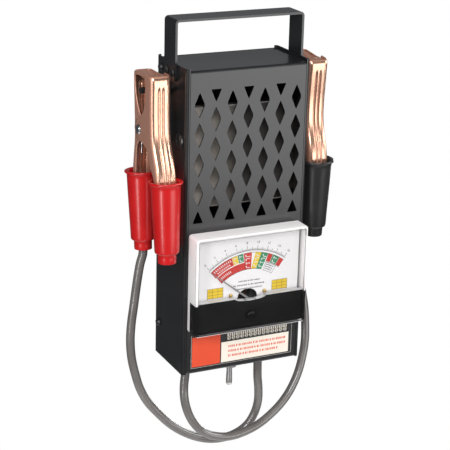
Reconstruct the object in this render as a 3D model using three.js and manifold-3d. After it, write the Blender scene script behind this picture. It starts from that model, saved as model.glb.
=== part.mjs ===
// Handheld load tester for car batteries: a folded steel case with a strap handle,
// a moving-coil meter, a load element behind a vent grille, a toggle switch and two
// spring clamps that are stowed on pegs at the sides, each on its own cable.
//
// Millimetres, +Z up. The case is drawn with x from its centre plane, y back from the
// front panel and z down from the top edge of the side walls, and is moved at the end
// so that the origin lies under the middle of the handle.

import * as THREE from 'three';
import { mergeVertices } from 'three/addons/utils/BufferGeometryUtils.js';
import Module from 'manifold-3d';

const wasm = await Module();
wasm.setup();

// ---- driving dimensions ----

const CASE_W = 108;
const CASE_D = 58;
const CASE_H = 257;
const SHEET = 1.2;
const LIP = 3.2;
const TOP_DROP = 2;
const GAP = 0.4;

const HANDLE_TOP = 35;
const HANDLE_T = 1.9;
const HANDLE_Y0 = 17.3;
const HANDLE_Y1 = 39.1;
const HANDLE_END = -14;

const DIAMOND_W = 9;
const DIAMOND_H = 20;
const DIAMOND_PITCH_X = 14.15;
const DIAMOND_PITCH_Z = 24.15;
const DIAMOND_TOP = -17.4;

const METER_W = 100;
const METER_TOP = -134.5;
const METER_BOTTOM = -218.5;
const METER_P = 16;
const COVER_T = 2;
const BARREL_Z = -184;
const BARREL_R = 29;
const PIVOT_Z = -193;

const TOGGLE_Y = 22;
const TOGGLE_TIP = -284;

const EXIT_X = 33.5;
const EXIT_Y = 36;
const CABLE_R = 3.7;

const CLAMP_OFF = 16;
const CLAMP_HALF = 8.65;
const CLAMP_T = 1.25;

// ---- colours ----

const BLACK_PAINT = 0x1b1b1c;
const BLACK_PLASTIC = 0x131314;
const WHITE = 0xf2f0ea;
const CLEAR = 0xe8ecee;
const CHROME = 0xc9ccd0;
const ZINC = 0xa9acaf;
const BRASS = 0xb08d4a;
const COPPER = 0xc98a6c;
const COPPER_WIRE = 0xb4623a;
const RED = 0xc22324;
const DARK = 0x33302f;
const GREY = 0x55514c;
const RUBBER = 0x1d1c1b;
const CERAMIC = 0xd9d3c4;
const SHIELD = 0x5d554e;
const ALLOY = 0x77706a;

const group = new THREE.Group();

// ---- solids ----

function weld(geometry) {
  const bare = new THREE.BufferGeometry();
  bare.setAttribute('position', geometry.getAttribute('position'));
  if (geometry.index) {
    bare.setIndex(geometry.index);
  }
  return mergeVertices(bare, 1e-4);
}

function solid(geometry) {
  const merged = weld(geometry);
  const index = merged.index.array;
  const tris = [];
  for (let i = 0; i < index.length; i += 3) {
    const [a, b, c] = [index[i], index[i + 1], index[i + 2]];
    if (a !== b && b !== c && c !== a) {
      tris.push(a, b, c);
    }
  }
  const build = (order) => new wasm.Manifold(new wasm.Mesh({
    numProp: 3,
    vertProperties: new Float32Array(merged.getAttribute('position').array),
    triVerts: new Uint32Array(order),
  }));
  const made = build(tris);
  return made.volume() < 0 ? build([...tris].reverse()) : made;
}

function join(first, ...others) {
  return others.reduce((all, one) => all.add(one), first);
}

function cut(first, ...others) {
  return others.reduce((all, one) => all.subtract(one), first);
}

function add(name, shape, colour, roughness, metalness) {
  const mesh = shape.getMesh();
  const points = [];
  for (let i = 0; i < mesh.vertProperties.length; i += mesh.numProp) {
    points.push(mesh.vertProperties[i], mesh.vertProperties[i + 1], mesh.vertProperties[i + 2]);
  }
  const geometry = new THREE.BufferGeometry();
  geometry.setAttribute('position', new THREE.Float32BufferAttribute(points, 3));
  geometry.setIndex([...mesh.triVerts]);
  geometry.computeVertexNormals();
  const material = new THREE.MeshStandardMaterial({ color: colour, roughness, metalness });
  const part = new THREE.Mesh(geometry, material);
  part.name = name;
  part.position.set(0, -(HANDLE_Y0 + HANDLE_Y1) / 2, -(HANDLE_TOP - HANDLE_T));
  group.add(part);
  return part;
}

function block(x0, x1, y0, y1, z0, z1) {
  const box = new THREE.BoxGeometry(Math.abs(x1 - x0), Math.abs(y1 - y0), Math.abs(z1 - z0));
  box.translate((x0 + x1) / 2, (y0 + y1) / 2, (z0 + z1) / 2);
  return solid(box);
}

// A cylinder from (x, y, z) towards +axis by the length, with its own radius at each end.
function rod(axis, x, y, z, length, r0, r1 = r0, sides = 20) {
  const shape = new THREE.CylinderGeometry(r1, r0, length, sides);
  shape.translate(0, length / 2, 0);
  if (axis === 'x') {
    shape.rotateZ(-Math.PI / 2);
  } else if (axis === 'z') {
    shape.rotateX(Math.PI / 2);
  }
  shape.translate(x, y, z);
  return solid(shape);
}

// A turned piece about a line along z through (x, y); the profile is a closed list of [r, z].
function turned(profile, x, y, sides = 20) {
  const shape = new THREE.LatheGeometry(profile.map(([r, z]) => new THREE.Vector2(r, z)), sides);
  shape.rotateX(Math.PI / 2);
  shape.translate(x, y, 0);
  return solid(shape);
}

function extrude(points, depth) {
  const outline = new THREE.Shape(points.map(([u, v]) => new THREE.Vector2(u, v)));
  return new THREE.ExtrudeGeometry(outline, { depth, bevelEnabled: false, steps: 1 });
}

// A plate whose outline is [x, z], from y0 to y1.
function plateY(points, y0, y1) {
  const shape = extrude(points, y1 - y0);
  shape.rotateX(Math.PI / 2);
  shape.translate(0, y1, 0);
  return solid(shape);
}

// A plate whose outline is [y, z], from x0 to x1.
function plateX(points, x0, x1) {
  const shape = extrude(points, x1 - x0);
  shape.applyMatrix4(new THREE.Matrix4().set(0, 0, 1, x0, 1, 0, 0, 0, 0, 1, 0, 0, 0, 0, 0, 1));
  return solid(shape);
}

// A plate whose outline is [x, y], from z0 to z1.
function plateZ(points, z0, z1) {
  const shape = extrude(points, z1 - z0);
  shape.translate(0, 0, z0);
  return solid(shape);
}

// Rounds the corners of an open path of [u, v].
function filleted(path, radius, steps = 4) {
  const out = [path[0]];
  for (let i = 1; i < path.length - 1; i += 1) {
    const c = new THREE.Vector2(...path[i]);
    const a = new THREE.Vector2(...path[i - 1]).sub(c).normalize();
    const b = new THREE.Vector2(...path[i + 1]).sub(c).normalize();
    const half = Math.acos(THREE.MathUtils.clamp(a.dot(b), -1, 1)) / 2;
    const reach = radius / Math.tan(half);
    const centre = a.clone().add(b).normalize().multiplyScalar(radius / Math.sin(half)).add(c);
    const start = a.clone().multiplyScalar(reach).add(c).sub(centre).angle();
    const end = b.clone().multiplyScalar(reach).add(c).sub(centre).angle();
    let turn = end - start;
    if (turn > Math.PI) {
      turn -= 2 * Math.PI;
    }
    if (turn < -Math.PI) {
      turn += 2 * Math.PI;
    }
    for (let k = 0; k <= steps; k += 1) {
      const angle = start + (turn * k) / steps;
      out.push([centre.x + radius * Math.cos(angle), centre.y + radius * Math.sin(angle)]);
    }
  }
  out.push(path[path.length - 1]);
  return out;
}

// The closed outline of a strip of the given thickness along an open path.
function strip(path, thickness) {
  const left = [];
  const right = [];
  path.forEach(([u, v], i) => {
    const before = path[Math.max(i - 1, 0)];
    const after = path[Math.min(i + 1, path.length - 1)];
    const one = new THREE.Vector2(u - before[0], v - before[1]).normalize();
    const two = new THREE.Vector2(after[0] - u, after[1] - v).normalize();
    const along = one.clone().add(two).normalize();
    const first = i === 0 ? two : one;
    const mitre = thickness / 2 / Math.max(along.dot(first), 0.5);
    left.push([u - along.y * mitre, v + along.x * mitre]);
    right.push([u + along.y * mitre, v - along.x * mitre]);
  });
  return left.concat(right.reverse());
}

function roundRect(u0, u1, v0, v1, radius, steps = 4) {
  const out = [];
  const corners = [[u1 - radius, v1 - radius, 0], [u0 + radius, v1 - radius, 1], [u0 + radius, v0 + radius, 2],
    [u1 - radius, v0 + radius, 3]];
  corners.forEach(([u, v, quarter]) => {
    for (let k = 0; k <= steps; k += 1) {
      const angle = (quarter + k / steps) * (Math.PI / 2);
      out.push([u + radius * Math.cos(angle), v + radius * Math.sin(angle)]);
    }
  });
  return out;
}

// A round tube along a smooth curve through [x, y, z] points.
function tube(points, radius, sides, steps) {
  const curve = new THREE.CatmullRomCurve3(points.map((p) => new THREE.Vector3(...p)), false, 'centripetal');
  const ring = [];
  for (let k = 0; k < sides; k += 1) {
    const angle = (2 * Math.PI * k) / sides;
    ring.push(new THREE.Vector2(radius * Math.cos(angle), radius * Math.sin(angle)));
  }
  const shape = new THREE.ExtrudeGeometry(new THREE.Shape(ring), { steps, extrudePath: curve, bevelEnabled: false });
  return solid(shape);
}

// ---- case ----

const halfW = CASE_W / 2;
const wallMid = halfW - SHEET / 2;

const sideScrews = [];
for (const side of [-1, 1]) {
  sideScrews.push([side, 49.7, -228], [side, 49.7, -8.5]);
}

function sideHole(side, y, z, radius) {
  return rod('x', side > 0 ? halfW - 4 : -halfW - 2, y, z, 6, radius, radius, 16);
}

const pegY = { left: 35.2, right: 42.8 };
const pegZ = { left: -22.6, right: -18.2 };

let housing = plateZ(strip(filleted([
  [-halfW + LIP, SHEET / 2], [-wallMid, SHEET / 2], [-wallMid, CASE_D - SHEET / 2],
  [wallMid, CASE_D - SHEET / 2], [wallMid, SHEET / 2], [halfW - LIP, SHEET / 2],
], 1.9), SHEET), -CASE_H, 0);
housing = cut(housing, block(-halfW + 3, halfW - 3, CASE_D - 3, CASE_D + 1, -TOP_DROP, 1));
sideScrews.forEach(([side, y, z]) => {
  housing = housing.subtract(sideHole(side, y, z, 2.1));
});
for (const side of [-1, 1]) {
  const key = side < 0 ? 'left' : 'right';
  housing = housing.subtract(sideHole(side, 10.7, -59.6, 2.7));
  housing = housing.subtract(sideHole(side, pegY[key], pegZ[key], 2.9));
  housing = housing.subtract(sideHole(side, 22, -7, 2.3));
  housing = housing.subtract(sideHole(side, 34.4, -7, 2.3));
}
for (const z of [-49, -109]) {
  housing = housing.subtract(rod('y', 0, CASE_D - 1.6, z, 2, 2.4, 4.6, 20));
}
add('rear_housing', housing, BLACK_PAINT, 0.35, 0.2);

const coverHalf = halfW - LIP - GAP;
const flangeHalf = halfW - SHEET - GAP;
const plane = -TOP_DROP - SHEET / 2;
const floor = -CASE_H + SHEET / 2;
let cover = plateX(strip(filleted([
  [55.9, plane], [SHEET / 2, plane], [SHEET / 2, floor], [55.9, floor],
], 1.4), SHEET), -coverHalf, coverHalf);
cover = join(
  cover,
  block(-flangeHalf, flangeHalf, 3.6, 55.9, plane - SHEET / 2, plane + SHEET / 2),
  block(-flangeHalf, flangeHalf, 3.6, 55.9, floor - SHEET / 2, floor + SHEET / 2),
);
for (const side of [-1, 1]) {
  const inner = side * (flangeHalf - SHEET);
  const outer = side * flangeHalf;
  cover = join(
    cover,
    block(inner, outer, 43, 55.9, floor, -222),
    block(inner, outer, 44, 55.9, -12.6, plane),
  );
}
sideScrews.forEach(([side, y, z]) => {
  cover = cover.subtract(sideHole(side, y, z, 2.1));
});

// Vent grille: seven staggered columns of diamonds, cut off flat at the top and the bottom.
function diamond(x, z, from, to) {
  const w = DIAMOND_W / 2;
  const h = DIAMOND_H / 2;
  const points = [[0, h], [-0.9, h - 1.5], [-w + 0.35, 1.1], [-w + 0.35, -1.1], [-0.9, -h + 1.5], [0, -h],
    [0.9, -h + 1.5], [w - 0.35, -1.1], [w - 0.35, 1.1], [0.9, h - 1.5]];
  const whole = plateY(points.map(([u, v]) => [x + u, z + v]), -1, 3);
  return whole.intersect(block(x - w - 1, x + w + 1, -2, 4, z + from * h, z + to * h));
}

for (let column = -3; column <= 3; column += 1) {
  const x = column * DIAMOND_PITCH_X;
  const low = Math.abs(column) % 2 === 1;
  for (let row = 0; row < 4; row += 1) {
    const z = DIAMOND_TOP - DIAMOND_PITCH_Z * (low ? row + 0.5 : row + 1);
    cover = cover.subtract(diamond(x, z, -1, 1));
  }
  const end = DIAMOND_TOP - DIAMOND_PITCH_Z * 4.5;
  cover = cover.subtract(low ? diamond(x, end, -0.02, 1) : diamond(x, DIAMOND_TOP, -1, 0));
}

cover = cut(
  cover,
  rod('y', 0, -1, BARREL_Z, 4, BARREL_R + 0.7, BARREL_R + 0.7, 32),
  rod('z', 0, TOGGLE_Y, -CASE_H - 1, 4, 6.2, 6.2, 20),
  rod('z', -EXIT_X, EXIT_Y, -CASE_H - 1, 4, 6.6, 6.6, 20),
  rod('z', EXIT_X, EXIT_Y, -CASE_H - 1, 4, 6.6, 6.6, 20),
);
add('front_cover', cover, BLACK_PAINT, 0.35, 0.2);

const strapMid = halfW + 0.3 + HANDLE_T / 2;
let handle = plateY(strip(filleted([
  [-strapMid, HANDLE_END], [-strapMid, HANDLE_TOP - HANDLE_T / 2],
  [strapMid, HANDLE_TOP - HANDLE_T / 2], [strapMid, HANDLE_END],
], 2.2), HANDLE_T), HANDLE_Y0, HANDLE_Y1);
handle = handle.intersect(plateX(roundRect(HANDLE_Y0 - 0.01, HANDLE_Y1 + 0.01, HANDLE_END, HANDLE_TOP + 8, 5), -70, 70));
for (const y of [22, 34.4]) {
  handle = handle.subtract(rod('x', -70, y, -7, 140, 2.3, 2.3, 16));
}
add('handle_strap', handle, BLACK_PAINT, 0.35, 0.2);

[['left', -1], ['right', 1]].forEach(([word, side]) => {
  [['front', 22], ['rear', 34.4]].forEach(([place, y]) => {
    const outside = side * (halfW + 0.3 + HANDLE_T);
    const head = rod('x', side > 0 ? outside + 0.3 : outside - 1.5, y, -7, 1.2, side > 0 ? 3.6 : 2.6, side > 0 ? 2.6 : 3.6);
    const shank = rod('x', side > 0 ? halfW - 2.4 : -halfW - 3, y, -7, 5.4, 1.95, 1.95, 12);
    const tail = rod('x', side > 0 ? halfW - 3.1 : -halfW + 1.5, y, -7, 1.6, 3.1, 3.1, 16);
    add(`handle_rivet_${word}_${place}`, join(head, shank, tail), BLACK_PAINT, 0.4, 0.2);
  });
  [['upper', -8.5], ['lower', -228]].forEach(([place, z]) => {
    const outside = side * halfW;
    const head = rod('x', side > 0 ? outside + 0.3 : outside - 2.1, 49.7, z, 1.8, side > 0 ? 3.4 : 2.2, side > 0 ? 2.2 : 3.4);
    const shank = rod('x', side > 0 ? halfW - 7 : -halfW - 1, 49.7, z, 8, 1.75, 1.75, 12);
    add(`case_screw_${word}_${place}`, join(head, shank), BLACK_PAINT, 0.4, 0.4);
  });
});

// Each clamp is stowed on a plain peg, with a collar outside the wall and a nut inside.
[['left', -1], ['right', 1]].forEach(([word, side]) => {
  const y = pegY[word];
  const z = pegZ[word];
  const at = (a, b) => (side > 0 ? halfW + a : -halfW - b);
  const collar = rod('x', at(0.3, 2.5), y, z, 2.2, 5.5);
  const peg = rod('x', at(0, 24), y, z, 24, 2.6);
  const stem = rod('x', at(-5, 1), y, z, 6, 2.55, 2.55, 16);
  const nut = rod('x', at(-4.6, -1.6), y, z, 3, 4.6, 4.6, 6);
  add(`stow_peg_${word}`, join(collar, peg, stem, nut), BLACK_PAINT, 0.45, 0.3);
});

// ---- load element behind the grille ----

const shieldHalf = halfW - SHEET - GAP;
let shield = plateX(strip([[24, -36], [18, -36], [18, -119], [24, -119]], 1), -shieldHalf + 3, shieldHalf - 3);
for (const side of [-1, 1]) {
  const rim = block(side * shieldHalf, side * (shieldHalf - 1), 5, 18.5, -112, -43);
  shield = join(shield, rim, block(side * (shieldHalf - 4), side * (shieldHalf - 0.5), 17.5, 18.5, -112, -43));
  shield = shield.subtract(sideHole(side, 10.7, -59.6, 2.7));
}
add('heat_shield', shield, SHIELD, 0.55, 0.6);

[['left', -1], ['right', 1]].forEach(([word, side]) => {
  const at = (a, b) => (side > 0 ? halfW + a : -halfW - b);
  const skirt = rod('x', at(0.3, 1.3), 10.7, -59.6, 1, 6.3, 6.3, 24);
  const low = rod('x', at(1.2, 2.4), 10.7, -59.6, 1.2, side > 0 ? 6.3 : 4.4, side > 0 ? 4.4 : 6.3, 24);
  const shank = rod('x', at(-7, 1), 10.7, -59.6, 8, 2.3, 2.3, 12);
  add(`shield_screw_${word}`, join(skirt, low, shank), BLACK_PAINT, 0.35, 0.4);
});

const runs = [[-42, -128]];
for (let k = 0; k < 7; k += 1) {
  const x = -36 + 12 * k;
  const up = k % 2 === 0;
  if (k === 0) {
    runs.push([-42, -118], [x, -112]);
  }
  runs.push([x, up ? -42 : -112]);
  if (k < 6) {
    runs.push([x + 12, up ? -42 : -112]);
  }
}
runs.splice(3, 0);
runs.push([36, -42], [42, -42], [42, -128]);
const ribbon = plateY(strip(filleted(runs.filter((p, i) => i === 0 || p[0] !== runs[i - 1][0] || p[1] !== runs[i - 1][1]), 2.4, 3), 0.9), 29, 42);
add('load_ribbon', ribbon, ALLOY, 0.6, 0.8);

[['upper', -49], ['lower', -109]].forEach(([word, z]) => {
  const bar = join(block(-46, 46, 42.4, 48, z - 4, z + 4), rod('y', 0, 47, z, 9.4, 6), rod('y', -38, 47, z, 9.4, 5),
    rod('y', 38, 47, z, 9.4, 5));
  add(`insulator_${word}`, bar.subtract(rod('y', 0, 44, z, 20, 2.3, 2.3, 16)), CERAMIC, 0.7, 0);
  const screw = join(rod('y', 0, CASE_D - 1.3, z, 1.15, 2.3, 3.6), rod('y', 0, 45, z, 14, 1.9, 1.9, 12));
  add(`insulator_screw_${word}`, screw, BLACK_PAINT, 0.4, 0.4);
});

// ---- meter ----

let bowl = plateY(roundRect(-METER_W / 2, METER_W / 2, METER_BOTTOM, METER_TOP, 2.5, 3), -METER_P, -0.3);
bowl = cut(
  bowl,
  block(-METER_W / 2 + COVER_T, METER_W / 2 - COVER_T, -METER_P + COVER_T, 2, METER_BOTTOM + COVER_T, METER_TOP - COVER_T),
  rod('y', 0, -METER_P - 1, -205.3, 6, 3.9, 3.9, 20),
);
add('meter_cover', bowl, CLEAR, 0.08, 0);

const bayX = METER_W / 2 - COVER_T - GAP;
const bayLow = METER_BOTTOM + COVER_T + GAP;
const bayTop = METER_TOP - COVER_T - GAP;
let base = join(
  block(-bayX, bayX, -3.2, -0.3, bayLow, bayTop),
  rod('y', 0, -1, BARREL_Z, 25, BARREL_R, BARREL_R, 32),
);
base = cut(
  base,
  rod('y', 0, -4, BARREL_Z, 26, BARREL_R - 2, BARREL_R - 2, 32),
  rod('y', -13, 18, BARREL_Z, 8, 2.5, 2.5, 12),
  rod('y', 13, 18, BARREL_Z, 8, 2.5, 2.5, 12),
);
add('meter_base', base, BLACK_PLASTIC, 0.4, 0);

const dip = [];
for (let k = 0; k <= 8; k += 1) {
  const a = (k / 8) * Math.PI;
  dip.push([14 * Math.cos(a), -190.6 - 2.6 * Math.sin(a)]);
}
let band = plateY([[-bayX, bayLow], [bayX, bayLow], [bayX, -190.6], ...dip, [-bayX, -190.6]], -METER_P + COVER_T + 0.3, -9.2);
band = band.subtract(rod('y', 0, -METER_P, -205.3, 9, 3.9, 3.9, 20));
add('meter_band', band, BLACK_PLASTIC, 0.3, 0);

const notch = [];
for (let k = 0; k <= 8; k += 1) {
  const a = (k / 8) * Math.PI;
  notch.push([9 * Math.cos(a), -192 + 7 * Math.sin(a)]);
}
let dial = plateY([[-46, -197], [-9, -197], ...notch.reverse(), [9, -197], [46, -197], [46, -139.5], [-46, -139.5]], -7.6, -6.8);
dial = cut(dial, rod('y', -15.4, -9, -189, 4, 1.5, 1.5, 12), rod('y', 15.4, -9, -189, 4, 1.5, 1.5, 12));
add('meter_dial', dial, WHITE, 0.5, 0);

[['left', -15.4], ['right', 15.4]].forEach(([word, x]) => {
  const screw = join(rod('y', x, -8.9, -189, 1, 1.8, 1.8, 16), rod('y', x, -8.2, -189, 4.4, 1.1, 1.1, 10));
  add(`dial_screw_${word}`, screw, BRASS, 0.3, 0.9);
});

// Magnet yoke with a round gap that the moving coil turns in.
let yoke = plateY(roundRect(-17, 17, -203, -180, 3, 2), 3.5, 15.5);
yoke = cut(yoke, rod('y', 0, 2, PIVOT_Z, 16, 7.6, 7.6, 24), block(-4, 4, 2, 17, -181.5, -178));
add('meter_magnet', yoke, ZINC, 0.4, 0.8);

const coil = cut(block(-5, 5, 4.5, 14.5, PIVOT_Z - 4, PIVOT_Z + 4), block(-3.6, 3.6, 3, 16, PIVOT_Z - 2.6, PIVOT_Z + 2.6));
add('meter_coil', coil, COPPER_WIRE, 0.5, 0.6);

// The pointer rests 52 degrees to the left of upright; its arbor carries the coil.
const rest = THREE.MathUtils.degToRad(52);
const aim = ([u, v]) => [u * Math.cos(rest) - v * Math.sin(rest), PIVOT_Z + u * Math.sin(rest) + v * Math.cos(rest)];
const pointer = plateY([[-0.25, 43], [-0.7, 6], [-1.1, -8], [1.1, -8], [0.7, 6], [0.25, 43]].map(aim), -8.9, -8.3);
const arbor = join(
  rod('y', 0, -8.9, PIVOT_Z, 12, 1.1, 1.1, 12),
  block(-1.1, 1.1, 2, 3.9, PIVOT_Z - 1.1, PIVOT_Z + 1.1),
);
add('meter_needle', join(pointer, arbor), BLACK_PLASTIC, 0.5, 0);

const slotted = join(
  rod('y', 0, -METER_P - 0.8, -205.3, 6.8, 3.5, 3.5, 20),
);
add('zero_adjust_screw', slotted.subtract(block(-4, 4, -METER_P - 2, -METER_P + 0.1, -205.8, -204.8)), BLACK_PLASTIC, 0.35, 0);

[['left', -13], ['right', 13]].forEach(([word, x]) => {
  const stud = join(rod('y', x, 20, BARREL_Z, 14, 2.1, 2.1, 14), rod('y', x, 24.6, BARREL_Z, 3, 4.6, 4.6, 6));
  add(`meter_terminal_${word}`, stud, BRASS, 0.35, 0.9);
});

// ---- label ----

add('front_label', plateY(roundRect(-46.5, 46.5, -252, -222.5, 1, 2), -0.45, -0.3), WHITE, 0.5, 0);

// ---- toggle switch ----

const under = -CASE_H - 0.3;
let bushing = rod('z', 0, TOGGLE_Y, -266, 14, 5.8, 5.8, 24);
bushing = cut(bushing, rod('z', 0, TOGGLE_Y, -267, 10, 4.7, 4.7, 20));
add('switch_bushing', bushing, CHROME, 0.25, 1);

let nut = rod('z', 0, TOGGLE_Y, under - 2.4, 2.4, 8.2, 8.2, 6);
nut = nut.subtract(rod('z', 0, TOGGLE_Y, under - 4, 6, 6.2, 6.2, 24));
add('switch_nut', nut, CHROME, 0.3, 1);

let box = block(-15, 15, TOGGLE_Y - 9, TOGGLE_Y + 9, -251.2, -232);
box = box.subtract(rod('z', 0, TOGGLE_Y, -255, 6, 6.1, 6.1, 20));
add('switch_body', box, BLACK_PLASTIC, 0.45, 0);

[['left', -10], ['right', 10]].forEach(([word, x]) => {
  const screw = join(rod('z', x, TOGGLE_Y, -231.7, 1.2, 3.6, 3.6, 16), rod('z', x, TOGGLE_Y, -230.6, 4.4, 2, 2, 12));
  add(`switch_terminal_${word}`, screw, BRASS, 0.3, 0.9);
});

const bat = turned([
  [0, -262.4], [1.5, -262], [2.1, -262.6], [2.2, -266], [2.65, -280.5], [2.3, -282.6], [1.2, -283.8], [0, TOGGLE_TIP],
].reverse().map(([r, z]) => [r, z]), 0, TOGGLE_Y, 20);
const ball = new THREE.SphereGeometry(3.6, 16, 10);
ball.translate(0, TOGGLE_Y, -261);
add('toggle_lever', join(bat, solid(ball)), CHROME, 0.12, 1);

// ---- grommets and cables ----

[['left', -EXIT_X], ['right', EXIT_X]].forEach(([word, x]) => {
  const top = -CASE_H + SHEET;
  const ring = [[4.1, -260.2], [7.4, -260.2], [8.4, -259.4], [8.4, under], [6.1, under], [6.1, top + 0.3],
    [8.2, top + 0.3], [8.2, top + 2], [7.4, top + 2.6], [4.1, top + 2.6], [4.1, -260.2]];
  add(`grommet_${word}`, turned(ring, x, EXIT_Y, 24), RUBBER, 0.7, 0);
});

const blackRoute = [
  [-33.5, 36, -260.6], [-34, 35.8, -266], [-35.3, 35.2, -275], [-36.5, 34.5, -286], [-36.5, 33, -295.5],
  [-34, 32, -307], [-29, 31, -318], [-19.5, 31, -329], [-6.5, 31, -336], [6, 31, -338.5],
  [19.5, 31.5, -337.5], [34, 32.5, -333.5], [47.5, 34.5, -327], [59.5, 37, -319], [69.5, 40, -309.5],
  [78, 43.5, -297.5], [84, 47, -284.5], [88.5, 51, -269.5], [90, 54.5, -253.5], [90, 57.5, -238.5],
  [88, 60, -223], [85, 61.5, -208], [78, 62.5, -190], [72.5, 62.5, -172], [70.3, 62.3, -160],
  [70, 62.1, -154.2],
];
add('cable_black', tube(blackRoute, CABLE_R, 8, 76), GREY, 0.6, 0);

const redRoute = [
  [-70, 46.4, -159.2], [-70.3, 46.4, -164], [-72.5, 46.5, -172], [-74.5, 46.5, -183], [-76, 47, -195],
  [-78, 47, -210], [-80, 47, -225], [-81, 46.5, -240], [-80, 46, -255.5], [-77, 45.5, -270],
  [-72.5, 45, -285], [-65.5, 44.5, -298.5], [-56, 44, -310.5], [-45, 43.5, -322.5], [-33, 43, -332],
  [-19.5, 42.5, -339.5], [-6, 42.5, -344], [7.5, 42.5, -345], [20.5, 43, -342.5], [30.5, 43.5, -336.5],
  [36, 42.5, -326.5], [38, 40.5, -314.5], [37, 38.5, -301], [35, 37, -288.5], [34, 36, -271],
  [33.5, 36, -260.6],
];
add('cable_red', tube(redRoute, CABLE_R, 8, 76), GREY, 0.6, 0);

const inside = -CASE_H + SHEET + 2.9;
add('inner_lead_red', tube([
  [EXIT_X, EXIT_Y, inside], [EXIT_X, EXIT_Y, -240], [36, 37, -200], [41, 37, -165], [42.3, 36, -140], [42.3, 36, -129],
], CABLE_R, 8, 18), GREY, 0.6, 0);
add('inner_lead_black', tube([
  [-EXIT_X, EXIT_Y, inside], [-EXIT_X, EXIT_Y, -245], [-30, 41, -228], [-12, 44, -218], [4, 38, -213], [9.5, 30.5, -216],
  [10, 24.5, -221], [10, 22, -224],
], CABLE_R, 8, 18), GREY, 0.6, 0);
add('load_link', tube([
  [-10, TOGGLE_Y, -224], [-10.5, 25.5, -220], [-16, 34, -213], [-28, 37, -200], [-38, 37.5, -180], [-42, 36.5, -155],
  [-42.3, 36, -129],
], CABLE_R, 8, 18), GREY, 0.6, 0);

// ---- battery clamps ----

// Side view of the two halves as [y, z] from the pivot; front is -y and the nose is +z.
const FRONT_WEB = [[-11.6, 46.4], [-22.4, 46.7], [-23.6, 42], [-23.8, 11], [-25.6, -6], [-36.6, -28], [-38.5, -42], [-38.9, -66]];
const REAR_WEB = [[-10.9, 44.6], [16.8, 43.6], [17, 38], [15, 9], [13.9, -9], [17.6, -31], [18.8, -42], [15.4, -78]];
const FRONT_SIDE = [[-11.6, 47], [-22.6, 47.2], [-23.9, 42], [-24.2, 11], [-26, -6], [-37, -28], [-38.6, -41], [-39.4, -66],
  [-34.6, -66], [-31.8, -42], [-30.6, -32.5], [-24, -25], [-17.5, -13], [-9, -9.2], [0, -9], [6.4, -6.4], [9, 0], [6.4, 6.4], [-2, 9.6],
  [-8, 20], [-10.6, 30], [-12.2, 38]];
const REAR_SIDE = [[-10.9, 45.2], [17.2, 44.2], [17.4, 38], [15.4, 9], [14.3, -9], [18, -31], [19, -41], [15.8, -78],
  [10.4, -78], [11.2, -42], [8.8, -16], [3, -9.6], [-6.4, -6.4], [-9, 0], [-6.4, 6.4], [1, 10.6], [7, 20], [8.6, 30],
  [6.5, 36.5], [0, 39.6], [-10.9, 41.2]];

function clampPiece(shape, side, place) {
  const turn = THREE.MathUtils.degToRad(place.tilt);
  const move = new THREE.Matrix4().makeRotationX(turn).setPosition(side * (halfW + CLAMP_OFF), place.y, place.z);
  return shape.transform(move.elements);
}

function half(web, sideView, inner, outer, hole) {
  const sheet = plateX(strip(web, CLAMP_T), -outer, outer);
  const plates = join(plateX(sideView, -outer, -inner), plateX(sideView, inner, outer));
  return join(sheet, plates).subtract(rod('x', -20, 0, 0, 40, hole, hole, 16));
}

// A tapered sleeve with a rolled mouth and a narrower neck, open at the top, along its own z.
function sleeve(bore) {
  const outer = [[7.2, -66.4], [7.4, -58.2], [9.9, -56.6], [11.9, -4], [13.6, -2.8], [13.8, -1], [12.8, 0], [10.5, 0]];
  const inner = [[10.5, -4], [8.5, -55], [bore, -57.6], [bore, -66.4]];
  if (bore === 0) {
    return turned([[0, -66.4], ...outer, [10.5, -4], [8.5, -55], [0, -57.6]], 0, 0, 24);
  }
  return turned([...outer, ...inner, outer[0]], 0, 0, 24);
}

function bootAt(y0, z0, y1, z1, bore) {
  const lean = Math.atan2(y1 - y0, z0 - z1);
  const shape = sleeve(bore);
  return shape.transform(new THREE.Matrix4().makeRotationX(lean).setPosition(0, y0, z0).elements);
}

const CLAMPS = {
  red: { side: -1, y: 36.2, z: -54.2, tilt: 0, boot: RED },
  black: { side: 1, y: 41.7, z: -49.6, tilt: 5.5, boot: DARK },
};

Object.entries(CLAMPS).forEach(([word, place]) => {
  const { side } = place;
  const put = (shape) => clampPiece(shape, side, place);
  const front = half(FRONT_WEB, FRONT_SIDE, CLAMP_HALF - CLAMP_T, CLAMP_HALF, 2.9);
  const rear = half(REAR_WEB, REAR_SIDE, CLAMP_HALF - 2 * CLAMP_T - 0.4, CLAMP_HALF - CLAMP_T - 0.4, 2.9);
  add(`${word}_clamp_rear_jaw`, put(rear), COPPER, 0.25, 1);
  add(`${word}_clamp_front_jaw`, put(front), COPPER, 0.25, 1);
  const rivet = join(
    rod('x', -CLAMP_HALF - 1.4, 0, 0, 2 * CLAMP_HALF + 2.8, 2.6, 2.6, 16),
    rod('x', -CLAMP_HALF - 1.4, 0, 0, 1.1, 3.4, 4.1, 20),
    rod('x', CLAMP_HALF + 0.3, 0, 0, 1.1, 4.1, 3.4, 20),
  );
  add(`${word}_clamp_rivet`, put(rivet), ZINC, 0.3, 1);
  const coils = rod('x', -4.6, 0, 0, 9.2, 6.2, 6.2, 24).subtract(rod('x', -6, 0, 0, 12, 3.6, 3.6, 20));
  const arms = join(block(-4.6, -3, 4, 6, -22, 0), block(3, 4.6, -6, -4.2, -14, 0));
  add(`${word}_clamp_spring`, put(join(coils, arms)), ZINC, 0.3, 1);
  add(`${word}_clamp_front_boot`, put(bootAt(-34.6, -34, -39.6, -100.4, 0)), place.boot, 0.45, 0);
  add(`${word}_clamp_rear_boot`, put(bootAt(15.4, -38.6, 10.2, -104.6, 4.1)), place.boot, 0.45, 0);
});

export default group;
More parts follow.
